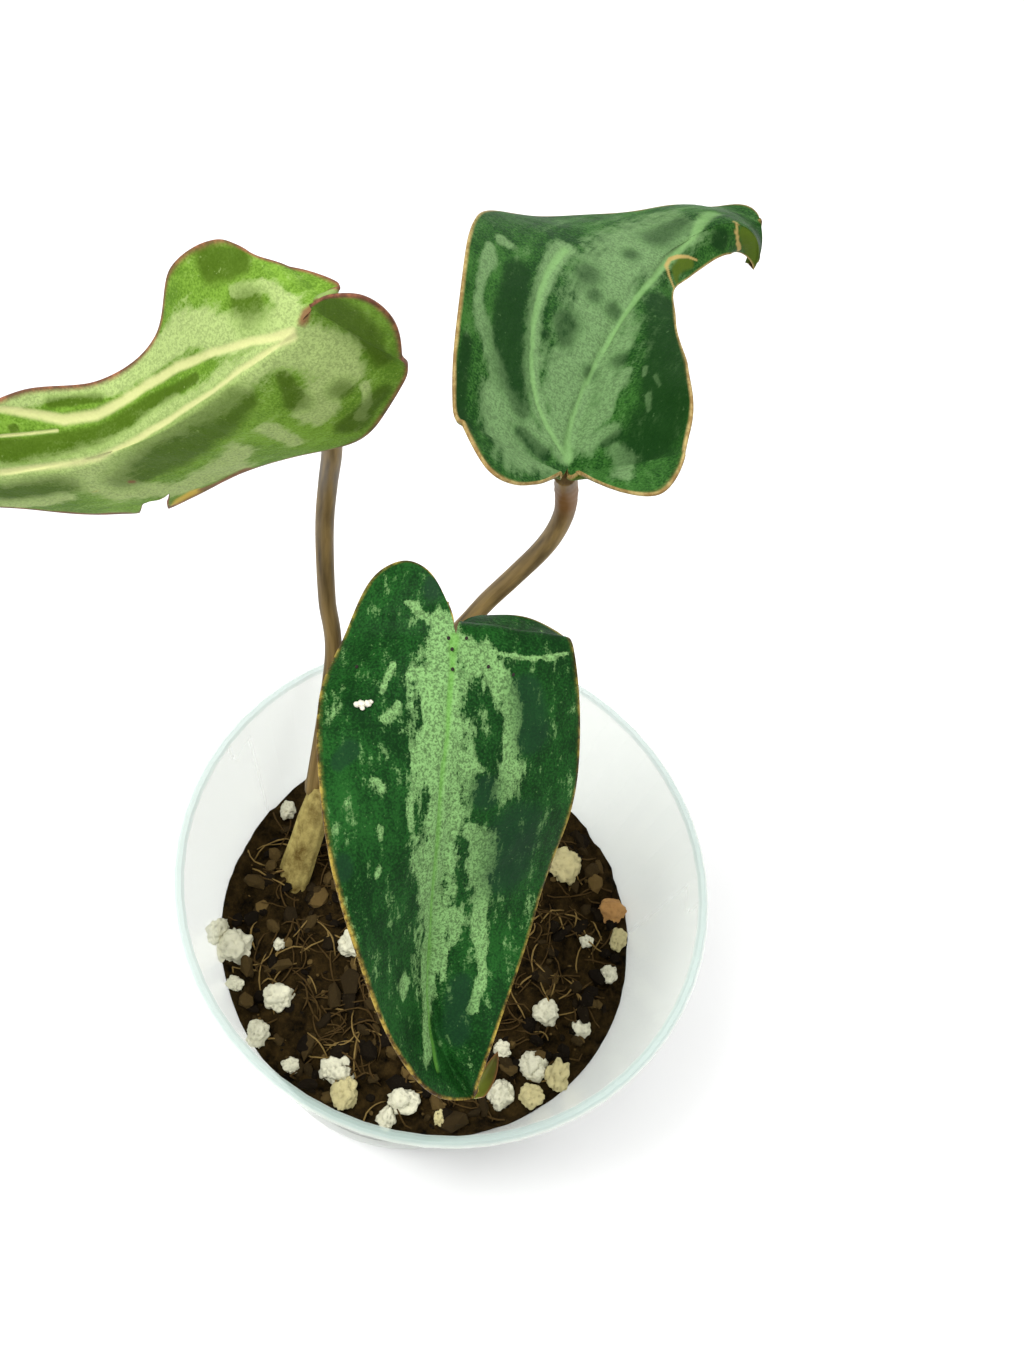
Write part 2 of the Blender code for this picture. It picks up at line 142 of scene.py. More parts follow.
# The lip band's darker colour and higher opacity are painted shade for the plastic seen edge on, not a
# denser plastic.
in_lip = nodes.new("ShaderNodeMapRange")
in_lip.inputs["From Min"].default_value = LIP_BAND[0]
in_lip.inputs["From Max"].default_value = LIP_BAND[1]
lip_shade_opacity = nodes.new("ShaderNodeMapRange")
lip_shade_opacity.inputs["To Min"].default_value = WALL_ALPHA
lip_shade_opacity.inputs["To Max"].default_value = LIP_SHADE_ALPHA
tint = nodes.new("ShaderNodeMix")
tint.data_type = "RGBA"
tint.inputs[6].default_value = WALL_COLOUR
tint.inputs[7].default_value = LIP_SHADE_COLOUR
links.new(where.outputs["Object"], parts.inputs["Vector"])
links.new(parts.outputs["Z"], in_lip.inputs["Value"])
links.new(in_lip.outputs["Result"], lip_shade_opacity.inputs["Value"])
links.new(in_lip.outputs["Result"], tint.inputs["Factor"])
links.new(lip_shade_opacity.outputs["Result"], shader.inputs["Alpha"])
links.new(tint.outputs[2], shader.inputs["Base Color"])
for material_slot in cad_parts["pot"].material_slots:
    material_slot.material = pot_look


# Potting mix: moist bark, coir and peat, poured into the pot to well below its lip.
# It is one rough-topped body that fills the pot, drawn a tenth of a millimetre clear of its wall.
MIX_LEVEL = 44.7 * MM
MIX_FOOT = 1.62 * MM
MIX_FOOT_RADIUS = 29.4 * MM
MIX_RINGS = 64
MIX_TURNS = 150
MIX_STATIONS = (42, 38, 34, 30, 26, 22, 18, 14, 10, 6, 3.6)
WALL_AND_GAP = 1.12


def mix_edge(height):
    slope = (POT_RIM_RADIUS - POT_FOOT_RADIUS) / POT_HEIGHT
    return (POT_FOOT_RADIUS + slope * height / MM - WALL_AND_GAP) * MM


def mix_height(x, y):
    spot = Vector((x / MM, y / MM, 0.0))
    swell = noise.noise(spot * 0.11) * 2.2
    crumb = noise.fractal(spot * 0.45, 0.9, 2.1, 4) * 1.15
    return MIX_LEVEL + (swell + crumb) * MM


top_radius = mix_edge(MIX_LEVEL)
mix_line = [(top_radius * k / MIX_RINGS, MIX_LEVEL) for k in range(MIX_RINGS + 1)]
mix_line += [(mix_edge(h * MM), h * MM) for h in MIX_STATIONS]
mix_line += [(MIX_FOOT_RADIUS, MIX_FOOT), (0.0, MIX_FOOT)]
work = bmesh.new()
line_verts = [work.verts.new((r, 0.0, z)) for r, z in mix_line]
line_edges = [work.edges.new(pair) for pair in zip(line_verts, line_verts[1:])]
profile = line_verts + line_edges
bmesh.ops.spin(work, geom=profile, axis=(0, 0, 1), angle=math.tau, steps=MIX_TURNS, use_merge=True)
bmesh.ops.remove_doubles(work, verts=work.verts, dist=0.005 * MM)
bmesh.ops.recalc_face_normals(work, faces=work.faces)
for vert in work.verts:
    if vert.co.z > MIX_LEVEL - 0.5 * MM:
        vert.co.z = mix_height(vert.co.x, vert.co.y)
mix_body = finished(work, "mix_body")


def add_noise(look, vector, scale, detail=2.0, rough=0.5):
    texture = look.node_tree.nodes.new("ShaderNodeTexNoise")
    texture.inputs["Scale"].default_value = scale
    texture.inputs["Detail"].default_value = detail
    texture.inputs["Roughness"].default_value = rough
    look.node_tree.links.new(vector, texture.inputs["Vector"])
    return texture.outputs["Fac"]


def add_bump(look, height, strength, depth):
    nodes, links = look.node_tree.nodes, look.node_tree.links
    lift = nodes.new("ShaderNodeBump")
    lift.inputs["Strength"].default_value = strength
    lift.inputs["Distance"].default_value = depth * MM
    links.new(height, lift.inputs["Height"])
    links.new(lift.outputs["Normal"], nodes["Principled BSDF"].inputs["Normal"])


def two_tones(look, factor, dark, light, low, high):
    ramp = look.node_tree.nodes.new("ShaderNodeValToRGB")
    for element, place, colour in zip(ramp.color_ramp.elements, (low, high), (dark, light)):
        element.position = place
        element.color = (*colour, 1.0)
    look.node_tree.links.new(factor, ramp.inputs["Fac"])
    return ramp.outputs["Color"]


def earth_look(name, dark, light, grain, rough, depth):
    look = new_look(name, rough, 0.05)
    nodes, links = look.node_tree.nodes, look.node_tree.links
    where = nodes.new("ShaderNodeTexCoord")
    coarse = add_noise(look, where.outputs["Object"], grain, 8.0, 0.72)
    tone = two_tones(look, coarse, dark, light, 0.36, 0.68)
    links.new(tone, nodes["Principled BSDF"].inputs["Base Color"])
    add_bump(look, coarse, 0.9, depth)
    return look


mix_look = earth_look("mix", (0.0015, 0.001, 0.0003), (0.042, 0.025, 0.007), 330.0, 0.95, 1.2)
mix_body.data.materials.append(mix_look)
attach(mix_body, "root")
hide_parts("potting_mix")

# Bark chips: small broken pieces and crumbs of dry bark, brown to nearly black.
# They lie loose in the top of the mix.
CHIP_COUNT = 620
CHIP_DARK = Vector((0.005, 0.003, 0.001))
CHIP_LIGHT = Vector((0.11, 0.070, 0.022))


def tone_look(name, roughness, specular=0.5):
    look = new_look(name, roughness, specular)
    nodes, links = look.node_tree.nodes, look.node_tree.links
    tones = nodes.new("ShaderNodeAttribute")
    tones.attribute_name = "tone"
    links.new(tones.outputs["Color"], nodes["Principled BSDF"].inputs["Base Color"])
    return look


chips_random = random.Random(3)
draw = chips_random.uniform
work = bmesh.new()
tone = work.verts.layers.float_color.new("tone")
for number in range(CHIP_COUNT):
    reach = (top_radius - 2.0 * MM) * math.sqrt(chips_random.random())
    turn = draw(0, math.tau)
    x, y = reach * math.cos(turn), reach * math.sin(turn)
    size = draw(0.5, 1.25) ** 2.2 * 1.25 * MM
    made = bmesh.ops.create_icosphere(work, subdivisions=1, radius=size)["verts"]
    stretch = Vector((draw(0.7, 1.7), draw(0.6, 1.1), draw(0.4, 0.9)))
    spin = Matrix.Rotation(draw(0, math.tau), 3, "Z") @ Matrix.Rotation(draw(-0.6, 0.6), 3, "X")
    tint = CHIP_DARK.lerp(CHIP_LIGHT, chips_random.random() ** 3.5)
    centre = Vector((x, y, mix_height(x, y) + size * 0.25))
    for vert in made:
        dent = 0.8 + 0.35 * chips_random.random()
        vert.co = centre + spin @ (vert.co * stretch * dent)
        vert[tone] = (*tint, 1.0)
chips = finished(work, "bark_chips", smooth=False)
chips.data.materials.append(tone_look("bark", 0.9, 0.1))
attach(chips, "root")

# Coir fibres: thin brown and tan strands of coconut husk.
# They lie loose over the mix and bend every way.
FIBRES = ((330, (0.055, 0.032, 0.009)), (150, (0.19, 0.125, 0.040)))
FIBRE_POINTS = 7
fibre_random = random.Random(11)
draw = fibre_random.uniform
for batch, (count, colour) in enumerate(FIBRES):
    strand_data = bpy.data.curves.new(f"fibres_{batch}", "CURVE")
    strand_data.dimensions = "3D"
    strand_data.bevel_depth = 1.0
    strand_data.bevel_resolution = 0
    strand_data.use_fill_caps = True
    for number in range(count):
        reach = (top_radius - 5.0 * MM) * math.sqrt(fibre_random.random())
        turn = draw(0, math.tau)
        x, y = reach * math.cos(turn), reach * math.sin(turn)
        heading = draw(0, math.tau)
        bend = draw(-0.5, 0.5)
        stride = draw(0.6, 1.7) * MM
        rise = draw(0.2, 1.3) * MM
        strand = strand_data.splines.new("POLY")
        strand.points.add(FIBRE_POINTS - 1)
        for k in range(FIBRE_POINTS):
            arch = rise * math.sin(math.pi * k / (FIBRE_POINTS - 1))
            strand.points[k].co = (x, y, mix_height(x, y) + arch + 0.1 * MM, 1.0)
            strand.points[k].radius = draw(0.11, 0.2) * MM
            step_x, step_y = x + stride * math.cos(heading), y + stride * math.sin(heading)
            if math.hypot(step_x, step_y) < top_radius - 0.8 * MM:
                x, y = step_x, step_y
            else:
                heading += 2.0
            heading += bend * draw(0.2, 1.2)
    strand_object = bpy.data.objects.new(f"fibres_{batch}", strand_data)
    scene.collection.objects.link(strand_object)
    bpy.context.view_layer.update()
    shown = strand_object.evaluated_get(bpy.context.evaluated_depsgraph_get())
    strand_mesh = bpy.data.meshes.new_from_object(shown)
    bpy.data.objects.remove(strand_object, do_unlink=True)
    work = bmesh.new()
    work.from_mesh(strand_mesh)
    bpy.data.meshes.remove(strand_mesh)
    bmesh.ops.remove_doubles(work, verts=work.verts, dist=0.001 * MM)
    bmesh.ops.recalc_face_normals(work, faces=work.faces)
    fibres = finished(work, f"coir_fibres_{batch}", smooth=False)
    fibres.data.materials.append(new_look(f"coir_{batch}", 0.8, 0.1, colour))
    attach(fibres, "root")

# Perlite: crumbly white grains of puffed mineral, with a few cream and orange chips among them.
# They lie on the mix, half sunk in it.
# Each is given in millimetres by its place and radius, and by its kind: white, cream or brown.
GRAINS = (
    (-33.6, -15.7, 2.8, "w"), (-37.6, -13.6, 2.4, "w"), (-22.5, -22.3, 2.7, "w"), (-23.6, -29.4, 2.0, "w"),
    (-30.8, -22.4, 1.5, "w"), (-7.8, -31.2, 2.5, "w"), (-5.0, -35.2, 2.5, "c"), (5.4, -32.7, 2.7, "w"),
    (3.7, -36.6, 2.0, "w"), (26.2, -8.5, 2.4, "w"), (33.5, -8.9, 1.6, "w"), (20.1, -18.1, 1.9, "w"),
    (26.5, -18.9, 2.2, "w"), (31.5, -19.2, 2.5, "c"), (22.3, -25.6, 2.6, "w"), (27.9, -24.4, 2.2, "c"),
    (21.8, 21.8, 2.9, "c"), (33.4, 15.8, 2.6, "b"), (36.0, 10.6, 1.9, "c"), (-12.9, -7.6, 2.3, "w"),
    (8.0, 2.0, 2.4, "w"), (-2.0, 18.0, 2.0, "w"), (14.0, 30.0, 2.4, "w"), (-12.0, 31.0, 2.3, "w"),
    (-34.0, 14.0, 1.6, "w"), (2.0, -14.0, 2.5, "w"), (14.0, 10.0, 1.9, "c"), (36.0, 3.0, 1.6, "w"),
    (-26.0, -12.0, 1.1, "w"), (-16.0, -33.0, 1.4, "w"), (13.0, -33.5, 1.3, "c"), (30.0, 8.0, 1.2, "w"),
)
GRAIN_LUMPS = ((0.36, 1.5), (0.20, 3.4), (0.07, 9.0))
GRAIN_COLOURS = {"w": (0.62, 0.60, 0.45), "c": (0.50, 0.44, 0.22), "b": (0.42, 0.22, 0.07)}
grain_random = random.Random(5)
work = bmesh.new()
tone = work.verts.layers.float_color.new("tone")
for x, y, size, kind in GRAINS:
    made = bmesh.ops.create_icosphere(work, subdivisions=4, radius=1.0)["verts"]
    stretch = [grain_random.uniform(0.85, 1.2) for k in range(3)]
    shift = Vector([grain_random.uniform(0, 50) for k in range(3)])
    centre = Vector((x * MM, y * MM, mix_height(x * MM, y * MM) + size * 0.35 * MM))
    for vert in made:
        way = vert.co.normalized()
        bulge = 1.0 + sum(depth * noise.noise(way * rate + shift) for depth, rate in GRAIN_LUMPS)
        pit = max(0.0, noise.noise(way * 5.0 + shift) - 0.15) * 0.45
        local = Vector((way.x * stretch[0], way.y * stretch[1], way.z * stretch[2] * 0.85))
        vert.co = centre + local * size * MM * (bulge - pit)
        # Each grain is painted darker in its pits as painted shade, and its colour varies a little at
        # random as its own tone.
        pit_shade_and_tone = 1.0 - 1.6 * pit - 0.12 * noise.noise(way * 3.0 + shift)
        vert[tone] = (*(pit_shade_and_tone * c for c in GRAIN_COLOURS[kind]), 1.0)
perlite = finished(work, "perlite")
grain_look = tone_look("perlite", 0.95)
where = grain_look.node_tree.nodes.new("ShaderNodeTexCoord")
add_bump(grain_look, add_noise(grain_look, where.outputs["Object"], 2200.0), 1.0, 0.25)
perlite.data.materials.append(grain_look)
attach(perlite, "root")


# Crown: the short stub of stem in dry tan sheaths, rooted in the mix.
# The three stalks rise from its top.
CROWN_FOOT = Vector((-28.2, -3.3, 36.8)) * MM
CROWN_TOP = Vector((-27.3, 14.3, 60.4)) * MM
CROWN_RADIUS = 3.9 * MM
work = bmesh.new()
bmesh.ops.create_cone(work, segments=48, radius1=1.0, radius2=1.0, depth=1.0, cap_ends=True)
sides = [edge for edge in work.edges if abs(edge.verts[0].co.z - edge.verts[1].co.z) > 0.5]
bmesh.ops.subdivide_edges(work, edges=sides, cuts=40, use_grid_fill=True)
axis = (CROWN_TOP - CROWN_FOOT).normalized()
side_x = axis.orthogonal().normalized()
side_y = axis.cross(side_x)
for vert in work.verts:
    height = vert.co.z + 0.5
    turn = math.atan2(vert.co.y, vert.co.x)
    radial = math.hypot(vert.co.x, vert.co.y)
    fold = 1.0 + 0.10 * math.sin(3 * turn + height * 2.0) + 0.05 * math.sin(11 * turn + 3 * height)
    rough = 1.0 + 0.06 * noise.noise(Vector((math.cos(turn) * 2, math.sin(turn) * 2, height * 6)))
    reach = CROWN_RADIUS * radial * fold * rough * (0.80 - 0.16 * height**2)
    spot = CROWN_FOOT.lerp(CROWN_TOP, height)
    vert.co = spot + (side_x * math.cos(turn) + side_y * math.sin(turn)) * reach
bmesh.ops.recalc_face_normals(work, faces=work.faces)
crown = finished(work, "crown_stub")
crown_look = earth_look("sheath", (0.10, 0.065, 0.016), (0.46, 0.38, 0.13), 190.0, 0.75, 0.5)
crown.data.materials.append(crown_look)
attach(crown, "root")
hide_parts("crown")


# Blades: three living leaves, heart-shaped, velvety and cupped along the midrib, each on its own stalk.
# Veins and silver bands are drawn on the flat blade, in thousandths of its length: across to the
# right, along, and half-width. The blade is then bent along its midrib and given its thickness.

# Half a blade's edge from joint to tip, in blade lengths: distance from the midrib and along it
HALF_OUTLINE = (
    (0.0, 0.0), (0.014, -0.055), (0.05, -0.12), (0.11, -0.155), (0.17, -0.145),
    (0.222, -0.07), (0.26, 0.05), (0.275, 0.2), (0.262, 0.35), (0.232, 0.5),
    (0.19, 0.64), (0.137, 0.78), (0.073, 0.905), (0.0, 1.0),
)
LOBE_END = 5
WIDEST = 0.275
# Where along the blade its angles in degrees are stated, in blade lengths from the joint
STATIONS = (-0.16, 0.0, 0.2, 0.4, 0.6, 0.8, 1.0)
MIDRIB_STEPS = 121
JOINT_STEP = round(-STATIONS[0] / (1.0 - STATIONS[0]) * (MIDRIB_STEPS - 1))
FIRST_ROW = 0.35
BLADE_ROWS = 261
BLADE_COLUMNS = 46
EDGE_WAVE = 0.35 * MM
EDGE_THICKNESS = 0.45
BODY_THICKNESS = 0.25
MIDRIB_THICKNESS = 0.95
STROKE_SOFTNESS = (("vein", 0.9), ("dark", 0.8), ("gold", 0.4), ("rust", 0.5), ("curled", 0.4))

PALETTE_FRONT = {
    "deep": (0.003, 0.026, 0.004), "body": (0.015, 0.094, 0.014), "dark": (0.008, 0.036, 0.014),
    "silver": (0.23, 0.44, 0.15), "vein": (0.13, 0.35, 0.05), "margin": (0.46, 0.33, 0.06),
    "margin_dark": (0.06, 0.03, 0.01), "under": (0.20, 0.27, 0.06), "gold": (0.4, 0.3, 0.05),
    "rust": (0.22, 0.08, 0.03), "speckle": 1.4, "veil_soft": 0.4, "pepper": 0.9, "vein_strength": 0.6,
    "dark_strength": 0.7, "margin_width": 0.42, "silver_soft": 1.0,
}
PALETTE_RIGHT = {
    "deep": (0.005, 0.036, 0.004), "body": (0.038, 0.130, 0.020), "dark": (0.005, 0.030, 0.004),
    "silver": (0.145, 0.26, 0.10), "vein": (0.19, 0.36, 0.12), "margin": (0.44, 0.33, 0.13),
    "margin_dark": (0.24, 0.15, 0.05), "under": (0.075, 0.125, 0.010), "gold": (0.42, 0.30, 0.10),
    "rust": (0.22, 0.10, 0.03), "speckle": 0.9, "veil_soft": 0.8, "pepper": 0.55, "vein_strength": 0.6,
    "dark_strength": 0.9, "margin_width": 0.32, "silver_soft": 1.0,
}
PALETTE_LEFT = {
    "deep": (0.085, 0.180, 0.012), "body": (0.19, 0.345, 0.040), "dark": (0.048, 0.094, 0.004),
    "silver": (0.40, 0.52, 0.18), "vein": (0.62, 0.62, 0.28), "margin": (0.30, 0.12, 0.06),
    "margin_dark": (0.12, 0.05, 0.03), "under": (0.25, 0.36, 0.10), "gold": (0.62, 0.42, 0.06),
    "rust": (0.20, 0.07, 0.035), "speckle": 0.85, "veil_soft": 0.7, "pepper": 0.5, "vein_strength": 0.8,
    "dark_strength": 0.8, "margin_width": 0.75, "silver_soft": 0.9,
}

# Heading, dip and roll turn the midrib, and fold, cup and lobe bend each half up from it. Edge
# stretches the outline's points outwards and slide shifts them along. Side 1 is the right half,
# looking from the joint to the tip.
BLADES = {
    "front": {
        "joint": Vector((-9.5, 4.9, 143.0)) * MM,
        "length": 76.0 * MM,
        "heading": (166, 160, 159, 166, 163, 140, 102),
        "dip": (-7, 9, 38, 54, 51, 43, 44),
        "roll": (-8, -1, 11, 21, 23, 7, -28),
        "fold": {1: (-17, -12, 4, 20, 30, 36, 42), -1: (-8, -12, -9, -3, 5, 28, 70)},
        "cup": {1: (-25, -23, -15, -8, -5, -3, -2), -1: (-8, -11, -11, -12, -17, -22, -22)},
        "lobe": {1: 21, -1: -37},
        "edge": {
            1: (1, 1, 1, 1, 0.98, 0.94, 0.92, 0.94, 0.99, 1.02, 1.04, 1.03, 1.01, 1),
            -1: (1, 1, 1, 0.99, 0.99, 0.99, 0.99, 1.05, 1.1, 1.15, 1.15, 1.1, 1.02, 1),
        },
        "slide": {1: (0,) * 14, -1: (0,) * 14},
        "waves": 5,
        "palette": PALETTE_FRONT,
        "silver": (
            ((18, 9, 35), (25, 61, 42), (29, 122, 46), (28, 186, 56), (33, 241, 58), (24, 298, 49),
             (19, 362, 46), (19, 425, 44), (17, 496, 40), (10, 558, 39), (9, 632, 40), (13, 688, 34),
             (17, 744, 24), (33, 791, 18), (54, 835, 12)),
            ((-19, 28, 30), (-60, 50, 28), (-87, 90, 25), (-109, 121, 22), (-117, 171, 16),
             (-118, 210, 18), (-120, 260, 28), (-120, 298, 29)),
            ((-21, 240, 15), (-56, 258, 6)),
            ((-34, 369, 8), (-76, 406, 26), (-82, 451, 32), (-86, 496, 25), (-102, 549, 16),
             (-92, 585, 15), (-105, 631, 15), (-105, 686, 11), (-98, 728, 9), (-74, 784, 9)),
            ((-38, 563, 19), (-44, 607, 14), (-32, 650, 6), (-21, 704, 6)),
            ((64, 71, 15), (82, 77, 10)),
            ((115, 50, 5), (130, 91, 5), (136, 106, 5)),
            ((108, 127, 5), (126, 153, 10), (138, 154, 5)),
            ((160, 256, 5), (146, 267, 10)),
            ((94, 313, 6), (91, 346, 5)),
            ((155, 339, 8), (155, 356, 5)),
            ((159, 404, 5), (165, 417, 5)),
            ((79, -61, 8), (95, -73, 5)),
            ((69, -47, 5), (35, -27, 16), (17, -3, 16)),
            ((100, 661, 16), (101, 687, 6)),
            ((-34, 19, 4), (-87, 29, 4), (-143, 32, 4), (-192, 25, 4), (-229, 9, 4)),
        ),
        "vein": (
            ((4, 6, 10), (8, 62, 5), (13, 104, 5), (16, 142, 5), (18, 189, 4), (26, 239, 4),
             (29, 286, 4), (26, 373, 4), (20, 480, 5), (2, 636, 5), (12, 739, 6), (25, 826, 5),
             (39, 875, 5)),
        ),
        "dark": (
            ((-144, 99, 36), (-168, 200, 43)),
            ((-70, 301, 37),),
            ((-154, 405, 73), (-145, 479, 62)),
            ((199, 204, 18), (226, 226, 12)),
            ((235, 390, 23),),
            ((-58, 722, 25), (-35, 828, 32)),
            ((43, -92, 22),),
        ),
    },
    "right": {
        "joint": Vector((-2.1, 23.1, 162.8)) * MM,
        "length": 74.0 * MM,
        "heading": (-8, -5, 0, 5, 20, 45, 121),
        "dip": (-17, 2, 0, -3, 9, 5, 101),
        "roll": (-5, -2, -1, -7, -20, -22, -32),
        "fold": {1: (28, 32, 32, 20, -17, -31, -44), -1: (7, 12, 14, 6, -22, -41, -51)},
        "cup": {1: (21, 27, 32, 33, 26, 20, 12), -1: (26, 23, 17, 5, -24, -29, -76)},
        "lobe": {1: 49, -1: 42},
        "edge": {
            1: (1, 1, 1, 1, 0.97, 0.98, 0.95, 0.76, 0.45, 0.3, 0.36, 0.49, 0.79, 1),
            -1: (1, 1, 1, 0.98, 0.96, 0.98, 1.02, 1.09, 1.26, 1.39, 1.35, 1.2, 2.42, 1),
        },
        "slide": {
            1: (0, 0, 0, 0, 0, 0, 0, 0.01, 0.049, 0.061, 0.032, -0.028, 0.008, 0),
            -1: (0, 0, 0, 0, 0, 0, 0, 0, 0.016, -0.015, -0.002, -0.028, 0.08, 0),
        },
        "waves": 4,
        "palette": PALETTE_RIGHT,
        "silver": (
            ((-19, 83, 35), (-28, 147, 57), (-27, 219, 69), (-15, 320, 69), (-46, 402, 63),
             (-59, 509, 63), (-48, 598, 74), (-53, 694, 70)),
            ((-11, 27, 21), (-55, 68, 22), (-85, 103, 17), (-110, 147, 15), (-130, 204, 18),
             (-147, 264, 16), (-158, 337, 16), (-162, 403, 18), (-156, 477, 26)),
            ((-63, 26, 20), (-106, 52, 25), (-145, 65, 28), (-178, 104, 20), (-206, 142, 15),
             (-236, 174, 16), (-265, 223, 12), (-275, 264, 9), (-279, 341, 15), (-285, 368, 9)),
            ((-181, 68, 22), (-148, 10, 30), (-95, -60, 54), (-58, -61, 41)),
            ((11, 70, 22), (38, 140, 27), (52, 205, 22), (65, 244, 12)),
            ((33, 62, 30), (70, 78, 20)),
            ((89, 25, 16), (119, -9, 17), (93, -102, 17)),
            ((137, 150, 6), (148, 103, 6)),
            ((160, 166, 4), (137, 207, 4)),
            ((104, 245, 6), (111, 217, 5)),
            ((-268, 400, 12), (-250, 401, 12)),
        ),
        "vein": (
            ((-4, 17, 10), (-11, 62, 7), (-14, 112, 5), (-13, 171, 3), (-8, 235, 4), (-3, 306, 4),
             (5, 373, 4), (13, 453, 6), (20, 549, 6), (12, 650, 8), (0, 725, 9), (-60, 820, 16)),
            ((-11, 27, 4), (-55, 68, 6), (-85, 103, 4), (-110, 147, 5), (-130, 204, 4), (-147, 264, 5),
             (-158, 337, 6), (-162, 403, 7), (-156, 477, 9)),
        ),
        "dark": (
            ((-54, 5, 18), (-102, 25, 16)),
            ((85, 58, 19), (66, 48, 12)),
            ((-91, 314, 33), (-80, 277, 18)),
            ((-15, 402, 18),),
            ((-61, 409, 18),),
            ((-118, 259, 12),),
            ((-91, 446, 29),),
            ((-47, 661, 35), (-53, 736, 25)),
            ((-49, 562, 18),),
            ((-211, -79, 13), (-246, 40, 17), (-260, 125, 14)),
            ((-114, 70, 20), (-155, 127, 36), (-184, 193, 42), (-201, 277, 38), (-211, 352, 32)),
            ((165, 32, 82), (191, 122, 69), (126, 308, 43), (59, 480, 37)),
            ((42, 277, 20),),
            ((-11, 238, 15),),
            ((32, 791, 27),),
        ),
        "gold": (
            ((64, 588, 4), (39, 600, 4), (20, 612, 4), (14, 636, 4), (19, 661, 4), (31, 687, 3),
             (48, 710, 2)),
            ((-10, 844, 4), (18, 847, 4), (37, 871, 5), (44, 918, 5)),
        ),
        "curled": (
            ((58, 617, 7), (40, 632, 13), (36, 660, 14), (46, 688, 10)),
            ((13, 868, 12), (17, 899, 18), (16, 948, 17), (9, 985, 14)),
            ((2, 914, 14), (4, 950, 14)),
        ),
    },
    "left": {
        "joint": Vector((-39.5, 21.1, 176.1)) * MM,
        "length": 74.0 * MM,
        "heading": (-172, -141, -110, -103, -106, -109, -112),
        "dip": (46, 46, 52, 45, 29, 16, 5),
        "roll": (-9, 15, 31, 34, 36, 42, 44),
        "fold": {1: (-17, -11, -6, -7, 8, 25, 39), -1: (-35, -46, -55, -63, -57, -53, -49)},
        "cup": {1: (6, 9, 12, 12, 14, 17, 19), -1: (-21, -22, -22, -25, -23, -23, -22)},
        "lobe": {1: -38, -1: 56},
        "edge": {
            1: (1, 0.14, 0.2, 0.14, 0.47, 0.63, 0.86, 0.89, 0.65, 0.58, 0.81, 0.95, 1, 1),
            -1: (1, 1, 1, 0.99, 0.98, 0.98, 1.07, 1.12, 1.03, 1.06, 1.27, 1.01, 1.01, 1),
        },
        "slide": {
            1: (0, 0.032, 0.051, 0.054, 0.065, 0.047, -0.008, 0.009, -0.005, -0.007, 0.012, 0, 0, 0),
            -1: (0, 0, 0, 0, 0.007, -0.001, -0.003, -0.007, -0.037, -0.071, 0, -0.003, 0, 0),
        },
        "waves": 5,
        "row_spread": ((0, 0.6, 0.84, 1), (0.35, 9.1, 9.85, 13)),
        "bite": (
            (9.0, 0, 0), (9.15, 0.005, 0.01), (9.3, 0.02, 0.045), (9.38, 0.035, 0.07),
            (9.41, 0.003, 0.05), (9.43, -0.02, 0.03), (9.45, -0.05, 0.008), (9.52, -0.04, 0.006),
            (9.6, -0.036, 0), (9.66, -0.043, -0.001), (9.72, -0.04, 0), (9.76, 0.01, 0.02),
            (9.85, 0.012, 0.008), (10, 0, 0),
        ),
        "palette": PALETTE_LEFT,
        "silver": (
            ((-2, 72, 34), (7, 168, 34), (4, 259, 32), (3, 344, 30), (0, 442, 29), (-20, 539, 47),
             (-25, 613, 48), (-3, 706, 29), (1, 752, 29)),
            ((-68, 587, 56), (-137, 568, 36), (-168, 529, 26)),
            ((-106, 683, 22), (-112, 756, 22), (-103, 799, 27)),
            ((15, 27, 38), (55, 99, 34), (104, 180, 39), (142, 249, 30), (139, 355, 29), (119, 470, 18),
             (130, 547, 12), (141, 666, 18), (144, 695, 16)),
            ((-45, 39, 51), (-89, 21, 49), (-136, 31, 32), (-137, 94, 39), (-162, 153, 34)),
            ((74, 6, 18), (28, 2, 18)),
            ((130, 83, 12), (102, 16, 12), (64, 1, 10)),
            ((-191, 40, 9), (-235, 76, 9), (-247, 115, 14)),
            ((-145, 335, 25), (-186, 409, 36), (-190, 465, 31), (-187, 514, 30)),
            ((-129, 239, 23), (-201, 252, 17)),
            ((9, 487, 20), (23, 407, 21), (33, 335, 23)),
        ),
        "vein": (
            ((0, 27, 8), (43, 108, 7), (75, 201, 7), (96, 309, 9), (96, 399, 9), (84, 465, 9),
             (76, 522, 10), (83, 591, 10), (107, 647, 9), (130, 701, 7)),
            ((-9, 35, 8), (8, 90, 5), (17, 161, 5), (16, 233, 4), (19, 310, 5), (14, 412, 6),
             (5, 488, 6), (-5, 553, 9), (0, 624, 9), (5, 691, 8), (8, 750, 8)),
            ((67, 610, 3), (73, 665, 3), (81, 723, 3)),
        ),
        "dark": (
            ((-64, -88, 49), (-125, -71, 46), (-171, -30, 33)),
            ((-159, 70, 26),),
            ((-114, 143, 28), (-51, 109, 15)),
            ((203, 102, 40), (167, 28, 29)),
            ((96, 72, 41),),
            ((56, 266, 11), (62, 397, 18), (39, 527, 22), (45, 660, 25), (49, 735, 27)),
            ((-28, 207, 37), (-39, 325, 52), (-53, 441, 60), (-91, 551, 36)),
            ((-56, 657, 36), (-60, 780, 37)),
            ((120, 604, 11), (104, 503, 10)),
            ((91, 689, 9),),
            ((-247, 144, 34), (-236, 35, 21)),
        ),
        "gold": (
            ((-238, 505, 12), (-256, 535, 16), (-268, 556, 8)),
            ((-105, 620, 4), (-104, 622, 4)),
        ),
        "rust": (
            ((-2, 0, 9), (3, -14, 10), (4, -28, 7)),
            ((-105, 544, 6), (-104, 546, 6)),
            ((-279, 573, 6), (-270, 563, 4)),
